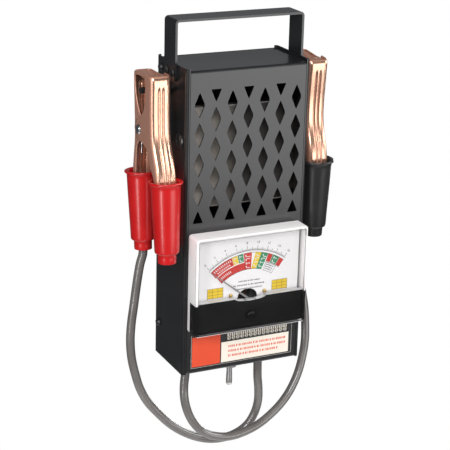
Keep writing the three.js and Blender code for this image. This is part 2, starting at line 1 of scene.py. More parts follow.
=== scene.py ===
import math

import bmesh
import bpy
from mathutils import Matrix, Vector

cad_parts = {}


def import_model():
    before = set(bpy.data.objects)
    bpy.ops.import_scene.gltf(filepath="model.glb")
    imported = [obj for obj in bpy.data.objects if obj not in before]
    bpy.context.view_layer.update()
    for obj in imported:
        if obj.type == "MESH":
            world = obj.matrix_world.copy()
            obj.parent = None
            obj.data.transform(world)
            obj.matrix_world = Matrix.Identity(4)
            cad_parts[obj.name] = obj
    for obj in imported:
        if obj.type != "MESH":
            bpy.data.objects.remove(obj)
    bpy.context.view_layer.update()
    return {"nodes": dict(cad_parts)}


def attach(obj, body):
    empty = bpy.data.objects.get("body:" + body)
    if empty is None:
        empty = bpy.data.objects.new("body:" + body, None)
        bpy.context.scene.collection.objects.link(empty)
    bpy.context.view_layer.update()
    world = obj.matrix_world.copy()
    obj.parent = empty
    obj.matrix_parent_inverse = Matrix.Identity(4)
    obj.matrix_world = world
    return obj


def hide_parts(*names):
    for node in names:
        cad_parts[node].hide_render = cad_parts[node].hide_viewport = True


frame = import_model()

MM = 0.001
RAD = math.radians
TAU = 2 * math.pi
# Lengths below are in mm: x from the case's middle, y back from its front plane and z up from the top of its
# side walls. The frame's origin is at the handle's grip, which lies this far from there.
SHIFT = Vector((0.0, 28.2, 33.1))
CAMERA_PLACE = (-0.5124, -1.0496, 0.2241)
CAMERA_YAW, CAMERA_PITCH, CAMERA_ROLL = RAD(25.82), RAD(18.86), RAD(1.45)
CABLE_WIDTH = 7.4
PEG_X = 70
SCREW_WALL_X = 54.3
BOX_FACES = ((3, 2, 1, 0), (4, 5, 6, 7), (0, 1, 5, 4), (1, 2, 6, 5), (2, 3, 7, 6), (3, 0, 4, 7))


def at(x, y, z):
    return (Vector((x, y, z)) - SHIFT) * MM


def link(name, data):
    """A new object in the scene that shows this mesh, curve, light or camera."""
    ob = bpy.data.objects.new(name, data)
    bpy.context.scene.collection.objects.link(ob)
    return ob


# ---- camera ----

def place_camera():
    cam = bpy.data.cameras.new("camera")
    cam.sensor_width = 36.0
    cam.lens = 119.24
    cam.clip_start = 0.05
    cam.clip_end = 20.0
    ob = link("camera", cam)
    yaw, pitch, roll = CAMERA_YAW, CAMERA_PITCH, CAMERA_ROLL
    ahead = Vector((math.sin(yaw) * math.cos(pitch), math.cos(yaw) * math.cos(pitch), -math.sin(pitch)))
    level_right = Vector((math.cos(yaw), -math.sin(yaw), 0.0))
    level_up = level_right.cross(ahead)
    right = level_right * math.cos(roll) + level_up * math.sin(roll)
    up = level_up * math.cos(roll) - level_right * math.sin(roll)
    turn = Matrix((right, up, -ahead)).transposed()
    ob.matrix_world = Matrix.Translation(CAMERA_PLACE) @ turn.to_4x4()
    bpy.context.scene.camera = ob


place_camera()

# ---- materials ----


def shader(name, colour, rough, metal=0.0, **sockets):
    m = bpy.data.materials.new(name)
    m.use_nodes = True
    b = m.node_tree.nodes["Principled BSDF"]
    b.inputs["Base Color"].default_value = (*colour, 1)
    b.inputs["Roughness"].default_value = rough
    b.inputs["Metallic"].default_value = metal
    for key, value in sockets.items():
        b.inputs[key.replace("_", " ")].default_value = value
    return m, m.node_tree, b


def coords(t, scale=(1, 1, 1)):
    c = t.nodes.new("ShaderNodeTexCoord")
    v = t.nodes.new("ShaderNodeMapping")
    v.inputs["Scale"].default_value = scale
    t.links.new(c.outputs["Object"], v.inputs["Vector"])
    return v.outputs["Vector"]


def noise(t, vector, scale, detail=3.0, rough=0.5):
    n = t.nodes.new("ShaderNodeTexNoise")
    n.inputs["Scale"].default_value = scale
    n.inputs["Detail"].default_value = detail
    n.inputs["Roughness"].default_value = rough
    t.links.new(vector, n.inputs["Vector"])
    return n.outputs["Fac"]


def ramp(t, fac, stops):
    r = t.nodes.new("ShaderNodeValToRGB")
    t.links.new(fac, r.inputs["Fac"])
    while len(r.color_ramp.elements) < len(stops):
        r.color_ramp.elements.new(0.5)
    for e, (p, c) in zip(r.color_ramp.elements, stops):
        e.position = p
        e.color = (*c, 1) if len(c) == 3 else c
    return r.outputs["Color"]


def spread(t, fac, lo, hi):
    r = t.nodes.new("ShaderNodeMapRange")
    r.inputs["To Min"].default_value = lo
    r.inputs["To Max"].default_value = hi
    t.links.new(fac, r.inputs["Value"])
    return r.outputs["Result"]


def bump(t, b, fac, strength, distance):
    n = t.nodes.new("ShaderNodeBump")
    n.inputs["Strength"].default_value = strength
    n.inputs["Distance"].default_value = distance
    t.links.new(fac, n.inputs["Height"])
    t.links.new(n.outputs["Normal"], b.inputs["Normal"])


def surface(name, dark, light, rough, metal=0.0, grain=60.0, peel=900.0, depth=0.00002, strength=0.2,
            stretch=(1, 1, 1), **sockets):
    """Two close shades in slow patches, with a fine bump; grain and peel count the patches in a metre."""
    m, t, b = shader(name, light, sum(rough) / 2, metal, **sockets)
    v = coords(t, stretch)
    slow = noise(t, v, grain, 4.0)
    fine = noise(t, v, peel, 2.0)
    t.links.new(ramp(t, slow, [(0.3, dark), (0.7, light)]), b.inputs["Base Color"])
    t.links.new(spread(t, slow, *rough), b.inputs["Roughness"])
    bump(t, b, fine, strength, depth)
    return m


PAINT = surface("black_enamel", (0.009, 0.009, 0.010), (0.014, 0.014, 0.015), (0.27, 0.34), grain=35,
                peel=700, depth=0.00003, strength=0.12, Coat_Weight=0.3, Coat_Roughness=0.14)
SCREW = surface("black_zinc", (0.02, 0.02, 0.022), (0.05, 0.05, 0.055), (0.25, 0.4), 0.6, grain=300)
ALLOY = surface("ribbon_alloy", (0.16, 0.15, 0.14), (0.30, 0.28, 0.26), (0.45, 0.6), 0.9, stretch=(1, 1, 14))
CERAMIC = surface("ceramic", (0.62, 0.58, 0.50), (0.74, 0.70, 0.62), (0.6, 0.8), grain=120, strength=0.4)
BLACK = surface("black_plastic", (0.006, 0.006, 0.006), (0.010, 0.010, 0.010), (0.2, 0.28), grain=40,
                strength=0.02, Specular_IOR_Level=0.14)
NEEDLE = surface("needle_grey", (0.20, 0.19, 0.19), (0.28, 0.27, 0.27), (0.4, 0.5))
DIAL = surface("dial_white", (0.84, 0.82, 0.825), (0.88, 0.86, 0.865), (0.4, 0.5), grain=20, strength=0.05)
BRASS = surface("brass", (0.55, 0.40, 0.16), (0.72, 0.54, 0.24), (0.22, 0.36), 1.0, grain=200)
ZINC = surface("bright_zinc", (0.55, 0.56, 0.58), (0.74, 0.75, 0.77), (0.16, 0.28), 1.0, grain=150)
IRON = surface("ground_iron", (0.28, 0.28, 0.30), (0.42, 0.42, 0.44), (0.35, 0.5), 0.9, stretch=(20, 1, 1))
WIRE = surface("coil_wire", (0.38, 0.15, 0.06), (0.62, 0.28, 0.13), (0.25, 0.4), 0.8, grain=40,
               stretch=(1, 30, 1))
CHROME = surface("chrome", (0.74, 0.71, 0.70), (0.86, 0.83, 0.82), (0.26, 0.34), 0.95, grain=90,
                 strength=0.02)
RUBBER = surface("black_rubber", (0.014, 0.014, 0.014), (0.03, 0.03, 0.03), (0.6, 0.8), grain=150,
                 strength=0.5)
CABLE = surface("grey_jacket", (0.118, 0.107, 0.102), (0.155, 0.142, 0.135), (0.28, 0.36), grain=50,
                peel=1500, depth=0.00002, strength=0.05, Coat_Weight=0.7, Coat_Roughness=0.16)


def ink(name, dark, light, rough=(0.4, 0.5), grain=60):
    """Flat print, or a printed panel; also the flat colour of painted highlights and painted reflections."""
    return surface(name, dark, light, rough, grain=grain, strength=0.05)


LABEL = ink("label_cream", (0.76, 0.69, 0.60), (0.82, 0.75, 0.66), (0.42, 0.5), 25)
LABEL_BLACK = ink("label_black", (0.012, 0.012, 0.012), (0.02, 0.02, 0.02), (0.35, 0.45))
INK_RED = ink("ink_red", (0.52, 0.028, 0.022), (0.62, 0.040, 0.030))
INK_ORANGE = ink("ink_orange", (0.66, 0.060, 0.018), (0.74, 0.075, 0.025), (0.35, 0.45), 40)
INK_YELLOW = ink("ink_yellow", (0.74, 0.50, 0.02), (0.82, 0.58, 0.035))
INK_GREEN = ink("ink_green", (0.03, 0.22, 0.10), (0.05, 0.30, 0.14))
INK_BLACK = ink("ink_black", (0.015, 0.015, 0.015), (0.03, 0.03, 0.03))
# Grey print for the label's border, and painted highlight for the heat shield's folded edges.
GREY_INK_AND_HIGHLIGHT = ink("grey_ink_and_highlight", (0.42, 0.39, 0.37), (0.52, 0.49, 0.46))
# Painted reflection: the grey lines where the meter cover's inner walls show through its front.
PAINTED_EDGE_LINE = ink("wall_line", (0.20, 0.19, 0.19), (0.28, 0.27, 0.27), (0.15, 0.25))
MATTE = surface("matte_black", (0.010, 0.010, 0.010), (0.014, 0.014, 0.014), (0.6, 0.7), grain=60)
# Painted highlight for the black meter insert's top edge.
PALE_EDGE = surface("pale_edge", (0.42, 0.42, 0.43), (0.62, 0.62, 0.63), (0.15, 0.3), grain=120, strength=0.1)


def shield_steel():
    """Dull steel whose colour runs from light at one side to dark at the other, a painted reflection, with
    rolled streaks.
    """
    m, t, b = shader("shield_steel", (0.2, 0.18, 0.16), 0.55, 0.35)
    v = coords(t)
    split = t.nodes.new("ShaderNodeSeparateXYZ")
    t.links.new(v, split.inputs[0])
    # Painted reflection of the light: the base colour fades from light to dark across the shield.
    across = t.nodes.new("ShaderNodeMapRange")
    across.interpolation_type = "SMOOTHSTEP"
    across.inputs["From Min"].default_value = -0.034
    across.inputs["From Max"].default_value = 0.006
    t.links.new(split.outputs["X"], across.inputs["Value"])
    base = ramp(t, across.outputs["Result"],
                [(0.0, (0.44, 0.40, 0.36)), (0.5, (0.26, 0.235, 0.205)), (1.0, (0.045, 0.038, 0.034))])
    cloud = ramp(t, noise(t, v, 90, 4.0), [(0.3, (0.72, 0.70, 0.68)), (0.7, (1.0, 1.0, 1.0))])
    mul = t.nodes.new("ShaderNodeMix")
    mul.data_type = "RGBA"
    mul.blend_type = "MULTIPLY"
    mul.inputs["Factor"].default_value = 1.0
    t.links.new(base, mul.inputs["A"])
    t.links.new(cloud, mul.inputs["B"])
    t.links.new(mul.outputs["Result"], b.inputs["Base Color"])
    t.links.new(spread(t, noise(t, v, 140, 3.0), 0.45, 0.65), b.inputs["Roughness"])
    bump(t, b, noise(t, coords(t, (1, 1, 8)), 200, 3.0), 0.3, 0.00008)
    return m


SHIELD = shield_steel()


def vinyl(name, dark, light, **extra):
    """Dipped soft vinyl: a thin gloss over slow waves."""
    m, t, b = shader(name, light, 0.3, 0.0, Coat_Weight=0.25, Coat_Roughness=0.18, **extra)
    v = coords(t)
    slow = noise(t, v, 28, 3.0)
    t.links.new(ramp(t, slow, [(0.3, dark), (0.7, light)]), b.inputs["Base Color"])
    t.links.new(spread(t, noise(t, v, 90, 4.0), 0.26, 0.4), b.inputs["Roughness"])
    bump(t, b, noise(t, v, 160, 2.0), 0.25, 0.00012)
    return m


RED_BOOT = vinyl("red_vinyl", (0.46, 0.005, 0.006), (0.56, 0.009, 0.010))
DARK_BOOT = vinyl("charcoal_vinyl", (0.014, 0.013, 0.0136), (0.023, 0.022, 0.023), Specular_IOR_Level=0.35)


def copper_plate(name, dark, light, rough, metal):
    """Thin copper plating, whose shade drifts mostly along the jaw."""
    m, t, b = shader(name, light, sum(rough) / 2, metal)
    v = coords(t, (1, 1, 0.25))
    t.links.new(ramp(t, noise(t, v, 30, 3.0), [(0.25, dark), (0.75, light)]), b.inputs["Base Color"])
    t.links.new(spread(t, noise(t, v, 60, 2.0), *rough), b.inputs["Roughness"])
    return m


COPPER = copper_plate("copper_plate", (0.78, 0.43, 0.29), (0.86, 0.55, 0.41), (0.24, 0.30), 0.92)
# A darker, less metallic copy of the copper: painted shade for the stampings' sides and tops.
COPPER_SHADED = copper_plate("copper_painted_shade", (0.50, 0.24, 0.165), (0.62, 0.33, 0.24), (0.36, 0.46), 0.45)


def clear(name, alpha, rough, tint):
    """Clear plastic, as a thin see-through film: alpha is how much of it shows."""
    m, t, b = shader(name, tint, rough, 0.0, Alpha=alpha, IOR=1.49, Specular_IOR_Level=0.2)
    v = coords(t)
    dark = tuple(c * 0.96 for c in tint)
    t.links.new(ramp(t, noise(t, v, 25, 2.0), [(0.3, dark), (0.7, tint)]), b.inputs["Base Color"])
    return m


CLEAR = clear("clear_front", 0.05, 0.05, (0.05, 0.05, 0.05))
# Painted see-through and sheen: the cover's clear walls tinted dark over the black insert and pale elsewhere.
CLEAR_EDGE = clear("clear_over_black", 0.9, 0.12, (0.010, 0.010, 0.010))
CLEAR_PALE = clear("clear_pale", 0.68, 0.10, (0.97, 0.945, 0.94))

# ---- mesh helpers ----


def finish_mesh(ob, angle=35.0):
    me = ob.data
    for p in me.polygons:
        p.use_smooth = True
    me.set_sharp_from_angle(angle=RAD(angle))


def face_out(me, weld=False):
    """Turns all faces outwards, once doubled vertices are joined where asked."""
    bm = bmesh.new()
    bm.from_mesh(me)
    if weld:
        bmesh.ops.remove_doubles(bm, verts=bm.verts, dist=1e-7)
    bmesh.ops.recalc_face_normals(bm, faces=bm.faces)
    bm.to_mesh(me)
    bm.free()


def make(name, verts, faces, material, body="case", angle=35.0, recalc=True):
    """A new piece that rides on a body; recalc is off where the faces already point the right way."""
    me = bpy.data.meshes.new(name)
    me.from_pydata([tuple(v) for v in verts], [], faces)
    if recalc:
        face_out(me, weld=True)
    me.materials.append(material)
    ob = link(name, me)
    finish_mesh(ob, angle)
    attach(ob, body)
    return ob


def bevel(ob, width):
    mod = ob.modifiers.new("edge", "BEVEL")
    mod.width = width * MM
    mod.segments = 2
    mod.limit_method = "ANGLE"
    mod.angle_limit = RAD(40.0)
    mod.harden_normals = False


def bake(ob):
    """Applies a new piece's modifiers to its mesh."""
    deps = bpy.context.evaluated_depsgraph_get()
    me = bpy.data.meshes.new_from_object(ob.evaluated_get(deps))
    old = ob.data
    ob.modifiers.clear()
    ob.data = me
    bpy.data.meshes.remove(old)


def prism(outline, y0, y1):
    """A closed outline of [x, z] in mm between two depths."""
    n = len(outline)
    verts = [at(x, y0, z) for x, z in outline] + [at(x, y1, z) for x, z in outline]
    faces = [list(range(n)), list(range(2 * n - 1, n - 1, -1))]
    faces += [[i, (i + 1) % n, n + (i + 1) % n, n + i] for i in range(n)]
    return verts, faces


def gather(parts):
    """Joins several [verts, faces] pairs into one."""
    verts, faces = [], []
    for v, f in parts:
        base = len(verts)
        verts += v
        faces += [[i + base for i in face] for face in f]
    return verts, faces


def rect(x0, x1, z0, z1):
    return [[x0, z0], [x1, z0], [x1, z1], [x0, z1]]


def ring_sector(r0, r1, a0, a1, steps, slant=0.0):
    """A stretch of the dial's arc; angles count from upright, clockwise as the dial is read."""
    inner, outer = [], []
    for k in range(steps + 1):
        a = RAD(a0 + (a1 - a0) * k / steps)
        inner.append([ARC_X + r0 * math.sin(a), ARC_Z + r0 * math.cos(a)])
        b = a + RAD(slant)
        outer.append([ARC_X + r1 * math.sin(b), ARC_Z + r1 * math.cos(b)])
    return outer + inner[::-1]


def lathe(profile, place, sides=56):
    """profile is [radius, height] in mm about the local z axis; place is a matrix in metres."""
    verts, faces = [], []
    rows = []
    for r, z in profile:
        if r < 1e-6:
            rows.append([len(verts)])
            verts.append(place @ Vector((0, 0, z * MM)))
        else:
            rows.append(list(range(len(verts), len(verts) + sides)))
            for k in range(sides):
                a = TAU * k / sides
                verts.append(place @ Vector((r * MM * math.cos(a), r * MM * math.sin(a), z * MM)))
    for a, b in zip(rows, rows[1:]):
        for k in range(sides):
            quad = [a[k % len(a)], a[(k + 1) % len(a)], b[(k + 1) % len(b)], b[k % len(b)]]
            quad = list(dict.fromkeys(quad))
            if len(quad) > 2:
                faces.append(quad)
    return verts, faces


def smooth_path(points, per=10):
    """Centripetal curve through the points."""
    p = [Vector(q) for q in points]
    p = [p[0] * 2 - p[1]] + p + [p[-1] * 2 - p[-2]]
    out = []
    for i in range(1, len(p) - 2):
        a, b, c, d = p[i - 1], p[i], p[i + 1], p[i + 2]
        t0 = 0.0
        t1 = t0 + math.sqrt((b - a).length)
        t2 = t1 + math.sqrt((c - b).length)
        t3 = t2 + math.sqrt((d - c).length)
        for k in range(per):
            t = t1 + (t2 - t1) * k / per
            a1 = a * ((t1 - t) / (t1 - t0)) + b * ((t - t0) / (t1 - t0))
            a2 = b * ((t2 - t) / (t2 - t1)) + c * ((t - t1) / (t2 - t1))
            a3 = c * ((t3 - t) / (t3 - t2)) + d * ((t - t2) / (t3 - t2))
            b1 = a1 * ((t2 - t) / (t2 - t0)) + a2 * ((t - t0) / (t2 - t0))
            b2 = a2 * ((t3 - t) / (t3 - t1)) + a3 * ((t - t1) / (t3 - t1))
            out.append(b1 * ((t2 - t) / (t2 - t1)) + b2 * ((t - t1) / (t2 - t1)))
    out.append(p[-2])
    return out


def wire(name, line, radius, resolution, material):
    """A round wire along a line of points in metres."""
    cu = bpy.data.curves.new(name, "CURVE")
    cu.dimensions = "3D"
    cu.bevel_depth = radius
    cu.bevel_resolution = resolution
    cu.use_fill_caps = True
    s = cu.splines.new("POLY")
    s.points.add(len(line) - 1)
    for q, v in zip(s.points, line):
        q.co = (*v, 1)
    s.use_smooth = True
    cu.materials.append(material)
    return link(name, cu)


# ---- cables ----

BLACK_ROUTE = [
    (-33.5, 36, -260.6), (-34, 35.8, -266), (-35.3, 35.2, -275), (-36.5, 34.5, -286), (-36.5, 33, -295.5),
    (-34, 32, -307), (-29, 31, -318), (-19.5, 31, -329), (-6.5, 31, -336), (6, 31, -338.5),
    (19.5, 31.5, -337.5), (34, 32.5, -333.5), (47.5, 34.5, -327), (59.5, 37, -319), (69.5, 40, -309.5),
    (78, 43.5, -297.5), (84, 47, -284.5), (88.5, 51, -269.5), (90, 54.5, -253.5), (90, 57.5, -238.5),
    (88, 60, -223), (85, 61.5, -208), (78, 62.5, -190), (72.5, 62.5, -172), (70.3, 62.3, -160),
    (70, 62.1, -154.2),
]
RED_ROUTE = [
    (33.5, 36, -260.6), (34, 36, -271), (35, 37, -288.5), (37, 38.5, -301), (38, 40.5, -314.5),
    (36, 42.5, -326.5), (30.5, 43.5, -336.5), (20.5, 43, -342.5), (7.5, 42.5, -345), (-6, 42.5, -344),
    (-19.5, 42.5, -339.5), (-33, 43, -332), (-45, 43.5, -322.5), (-56, 44, -310.5), (-65.5, 44.5, -298.5),
    (-72.5, 45, -285), (-77, 45.5, -270), (-80, 46, -255.5), (-81, 46.5, -240), (-80, 47, -225),
    (-78, 47, -210), (-76, 47, -195), (-74.5, 46.5, -183), (-72.5, 46.5, -172), (-70.3, 46.4, -164),
    (-70, 46.4, -159.2),
]


def cable(name, node, route):
    line = smooth_path([at(*q) for q in route])
    ob = wire(name, line, CABLE_WIDTH / 2 * MM, 6, CABLE)
    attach(ob, "case")
    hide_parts(node)


cable("cord_black", "cable_black", BLACK_ROUTE)
cable("cord_red", "cable_red", RED_ROUTE)

# ---- CAD nodes that keep their shape ----

# Each node's material and the width of its bevelled edges.
KEPT = {
    "rear_housing": (PAINT, 0.45), "front_cover": (PAINT, 0.3), "handle_strap": (PAINT, 0.45),
    "heat_shield": (SHIELD, 0.3), "load_ribbon": (ALLOY, 0), "load_link": (CABLE, 0),
    "front_label": (LABEL_BLACK, 0), "meter_base": (BLACK, 0.3), "meter_dial": (DIAL, 0),
    "meter_magnet": (IRON, 0.4), "meter_coil": (WIRE, 0.3), "meter_needle": (NEEDLE, 0),
    "switch_bushing": (CHROME, 0.3), "switch_nut": (CHROME, 0.4), "switch_body": (BLACK, 0.5),
}
for word in ("upper", "lower"):
    KEPT[f"insulator_{word}"] = (CERAMIC, 0.5)
    KEPT[f"insulator_screw_{word}"] = (SCREW, 0.1)
for side in ("left", "right"):
    KEPT[f"grommet_{side}"] = (RUBBER, 0.5)
    KEPT[f"stow_peg_{side}"] = (PAINT, 0.4)
    for part in ("meter", "switch"):
        KEPT[f"{part}_terminal_{side}"] = (BRASS, 0.2)
    for place in ("front", "rear"):
        KEPT[f"handle_rivet_{side}_{place}"] = (MATTE, 0.3)
    for place in ("upper", "lower"):
        KEPT[f"case_screw_{side}_{place}"] = (SCREW, 0.3)
for word in ("red", "black"):
    KEPT[f"inner_lead_{word}"] = (CABLE, 0)
    KEPT[f"{word}_clamp_rivet"] = (ZINC, 0.3)

for node, (material, edge) in KEPT.items():
    ob = frame["nodes"][node]
    ob.data.materials.clear()
    ob.data.materials.append(material)
    if edge:
        bevel(ob, edge)
    mod = ob.modifiers.new("soft", "WEIGHTED_NORMAL")
    mod.keep_sharp = False

# ---- screws with a driver recess ----


def cross_recess(place, size, depth, width):
    """Two crossed wedges that cut a driver's recess."""
    verts, faces = [], []
    for turn in (0, math.pi / 2):
        m = place @ Matrix.Rotation(turn, 4, "Z")
        base = len(verts)
        for z, grow in ((-depth, 0.45), (0.6, 1.1)):
            for sx, sy in ((-1, -1), (1, -1), (1, 1), (-1, 1)):
                verts.append(m @ Vector((sx * size * grow * MM, sy * width * MM, z * MM)))
        faces += [[base + i for i in f] for f in BOX_FACES]
    return verts, faces


def carve(ob, cutter):
    """Cuts one shape out of a piece and throws the cutter away."""
    mod = ob.modifiers.new("cut", "BOOLEAN")
    mod.operation = "DIFFERENCE"
    mod.solver = "EXACT"
    mod.use_self = True
    mod.object = cutter
    bake(ob)
    me = cutter.data
    bpy.data.objects.remove(cutter)
    bpy.data.meshes.remove(me)
    finish_mesh(ob)


def loose(name, verts, faces):
    """A shape that rides on nothing, for carve to use up."""
    me = bpy.data.meshes.new(name)
    me.from_pydata([tuple(v) for v in verts], [], faces)
    face_out(me)
    return link(name, me)


def facing(axis, x, y, z):
    """A matrix whose z axis looks along the given axis."""
    turn = Vector((0, 0, 1)).rotation_difference(Vector(axis)).to_matrix().to_4x4()
    return Matrix.Translation(at(x, y, z)) @ turn


def shield_screws():
    dome = [[0, 0], [6.2, 0], [6.3, 0.35], [5.9, 1.0], [4.6, 1.65], [2.6, 2.0], [0, 2.1]]
    stem = [[0, -6.5], [2.2, -6.3], [2.2, 0.2], [0, 0.2]]
    for side, word in ((-1, "left"), (1, "right")):
        head = facing((side, 0, 0), side * SCREW_WALL_X, 10.7, -59.6)
        ob = make(f"shield_screw_head_{word}", *lathe(dome, head), PAINT)
        carve(ob, loose("cutter", *cross_recess(head @ Matrix.Translation((0, 0, 0.0021)), 2.0, 1.2, 0.42)))
        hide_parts(f"shield_screw_{word}")
        shank = make(f"shield_screw_shank_{word}", *lathe(stem, head, 24), PAINT)


shield_screws()

# ---- meter ----


def cover_loop(inset, y, radius):
    """The cover's outline: a rounded rectangle, with one more point on each side above the black insert."""
    half, top, low = 50.0, -134.5, -218.5
    x0, x1, z0, z1 = -half + inset, half - inset, low + inset, top - inset
    pts = []
    for cx, cz, start in ((x1 - radius, z1 - radius, 0), (x0 + radius, z1 - radius, 90),
                          (x0 + radius, z0 + radius, 180), (x1 - radius, z0 + radius, 270)):
        for k in range(7):
            a = RAD(start + 90 * k / 6)
            pts.append(at(cx + radius * math.cos(a), y, cz + radius * math.sin(a)))
        if start == 90:
            pts.append(at(x0, y, -191.0))
        if start == 270:
            pts.append(at(x1, y, -191.0))
    return pts


def cover_lines():
    """The inner wall's edges as they show through the clear front: thin grey lines of painted reflection."""
    wall = 47.7
    lines = [prism(rect(x - 0.14, x + 0.14, -190.5, -137.2), -16.04, -15.9) for x in (-wall, wall)]
    lines.append(prism(rect(-wall, wall, -137.3, -137.05), -16.04, -15.9))
    lines.append(([at(x, y, z) for x in (-50.04, -49.9) for y in (-14.75, -14.45) for z in (-190.5, -138)],
                  [(0, 1, 3, 2), (4, 6, 7, 5), (0, 4, 5, 1), (2, 3, 7, 6), (0, 2, 6, 4), (1, 5, 7, 3)]))
    ob = make("meter_cover_lines", *gather(lines), PAINTED_EDGE_LINE)


def cover_piece():
    """The clear cover: a moulded bowl with rounded front edges, and a hole for the zero screw."""
    front_y, front_back_y = -16.0, -14.0
    hole_radius, hole_z = 3.9, -205.3
    outer = [(0.0, -0.3, 2.5), (0.0, -4.6, 2.5), (0.0, -14.6, 2.5), (0.25, -15.4, 2.4), (0.9, -15.85, 2.2),
             (1.8, front_y, 1.8)]
    inner = [(2.0, front_back_y, 1.4), (2.0, -0.3, 1.4)]
    loops = [cover_loop(*q) for q in outer + inner]
    n = len(loops[0])
    verts = [v for loop in loops for v in loop]
    faces, on_front = [], []

    def band(low, high, flat):
        for k in range(n):
            faces.append([low + k, low + (k + 1) % n, high + (k + 1) % n, high + k])
            on_front.append(flat)

    front = len(outer) - 1
    for i in range(len(loops) - 1):
        if i != front:
            band(i * n, (i + 1) * n, False)
    band((len(loops) - 1) * n, 0, False)
    hole = []
    for y in (front_y, front_back_y):
        hole.append(len(verts))
        for k in range(n):
            a = TAU * (k + 1) / n
            verts.append(at(hole_radius * math.cos(a), y, hole_z + hole_radius * math.sin(a)))
    band(front * n, hole[0], True)
    band((front + 1) * n, hole[1], True)
    band(hole[0], hole[1], False)
    ob = make("meter_cover_moulding", verts, faces, CLEAR, recalc=False, angle=28)
    ob.data.materials.append(CLEAR_EDGE)
    ob.data.materials.append(CLEAR_PALE)
    # The walls' colours are painted see-through and sheen: they read dark where the black insert lies behind
    # them, and pale elsewhere, where they catch the light.
    insert_top, insert_low, insert_back = at(0, 0, -192).z, at(0, 0, -217.7).z, at(0, -4.6, 0).y
    for p, flat in zip(ob.data.polygons, on_front):
        over_insert = insert_low < p.center.z < insert_top and p.center.y < insert_back
        p.material_index = 0 if flat else (1 if over_insert else 2)
    face_out(ob.data)
    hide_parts("meter_cover")
    cover_lines()


cover_piece()


def band_piece():
    """The black insert in the cover's lower part: a tray with a rounded front and a dipped top edge."""
    half, low, top = 47.6, -216.1, -190.6
    dip_half, dip_depth = 14, 2.6
    outline = [[-half, low], [half, low], [half, top]]
    outline += [[dip_half * math.cos(RAD(a)), top - dip_depth * math.sin(RAD(a))] for a in range(0, 181, 9)]
    outline += [[-half, top]]
    n = len(outline)
    verts = []
    for y, inset in ((-4.8, 0.0), (-12.9, 0.0), (-13.5, 0.25), (-13.7, 0.8)):
        for x, z in outline:
            verts.append(at(x * (1 - inset / half), y, z + (inset if z < -200 else 0)))
    faces = [list(range(3 * n, 4 * n))]
    for i in range(3):
        for k in range(n):
            # The tray's top is open.
            if i > 0 or not 2 <= k < n - 1:
                faces.append([i * n + k, i * n + (k + 1) % n, (i + 1) * n + (k + 1) % n, (i + 1) * n + k])
    ob = make("meter_band_tray", verts, faces, BLACK, angle=40)
    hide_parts("meter_band")
    # Painted highlight: a pale strip along the tray's top edge, where the edge catches the light.
    rim = []
    for (x0, z0), (x1, z1) in zip(outline[2:], outline[3:]):
        rim.append(prism([[x0, z0 + 0.05], [x1, z1 + 0.05], [x1, z1 + 0.55], [x0, z0 + 0.55]], -13.7, -9.6))
    ob = make("meter_band_rim", *gather(rim), PALE_EDGE)


band_piece()

DIAL_Y = -7.6
# The printed scale is struck from its own centre, below the needle's pivot.
ARC_X, ARC_Z = 1.2, -206.4
# The coloured band has an inner and an outer row: its three radii.
BAND_IN, BAND_MID, BAND_OUT = 38.4, 45.4, 52.3
SCALE_START, SCALE_SWEEP = -40.5, 76
TABLES_X = (-29.2, 29.2)
TABLE_HALF, TABLE_LOW, TABLE_HIGH = 7.1, -189.5, -181


def print_on(name, outlines, material, y=DIAL_Y, lift=0.06):
    ob = make(name, *gather([prism(o, y - lift, y - 0.01) for o in outlines]), material)
    return ob


def bars(x0, x1, z, height, gaps, seed):
    """A line of small bars standing in for words."""
    out, x, k = [], x0, seed
    while x < x1 - 0.5:
        k = (k * 7 + 3) % 11
        w = 0.55 + 0.12 * (k % 5)
        out.append(rect(x, min(x + w, x1), z, z + height))
        x += w + (gaps * 2.4 if k % 4 == 0 else gaps)
    return out


def dial_bands():
    """The coloured cells of the scale, and the two small tables."""
    # From left to right: colour, inner and outer radius, where the cell starts and ends, slant.
    cells = (
        ("red", BAND_MID, BAND_OUT, -41.5, -18.2, 0), ("yellow", BAND_MID, BAND_OUT, -17.9, -12.5, 0),
        ("green", BAND_MID, BAND_OUT, -12.2, -6.6, 0), ("red", BAND_IN, 44.6, -40.6, -5.6, 0),
        ("red", BAND_IN, BAND_OUT, -6.0, 2.0, 0), ("yellow", BAND_IN, BAND_OUT, 2.4, 8.6, 3.4),
        ("green", BAND_IN, BAND_OUT, 9.0, 16.2, 2.6), ("red", BAND_MID, BAND_OUT, 18.9, 23.6, 0),
        ("green", BAND_MID, BAND_OUT, 23.9, 31.0, 0), ("red", BAND_MID, BAND_OUT, 31.3, 36.2, 0),
    )
    shapes = {"red": [], "yellow": [], "green": []}
    for colour, r0, r1, a0, a1, slant in cells:
        shapes[colour].append(ring_sector(r0, r1, a0, a1, 14, slant))
    for x in TABLES_X:
        shapes["yellow"].append(rect(x - TABLE_HALF, x + TABLE_HALF, TABLE_LOW, TABLE_HIGH))
    print_on("dial_print_red", shapes["red"], INK_RED)
    print_on("dial_print_yellow", shapes["yellow"], INK_YELLOW)
    print_on("dial_print_green", shapes["green"], INK_GREEN)


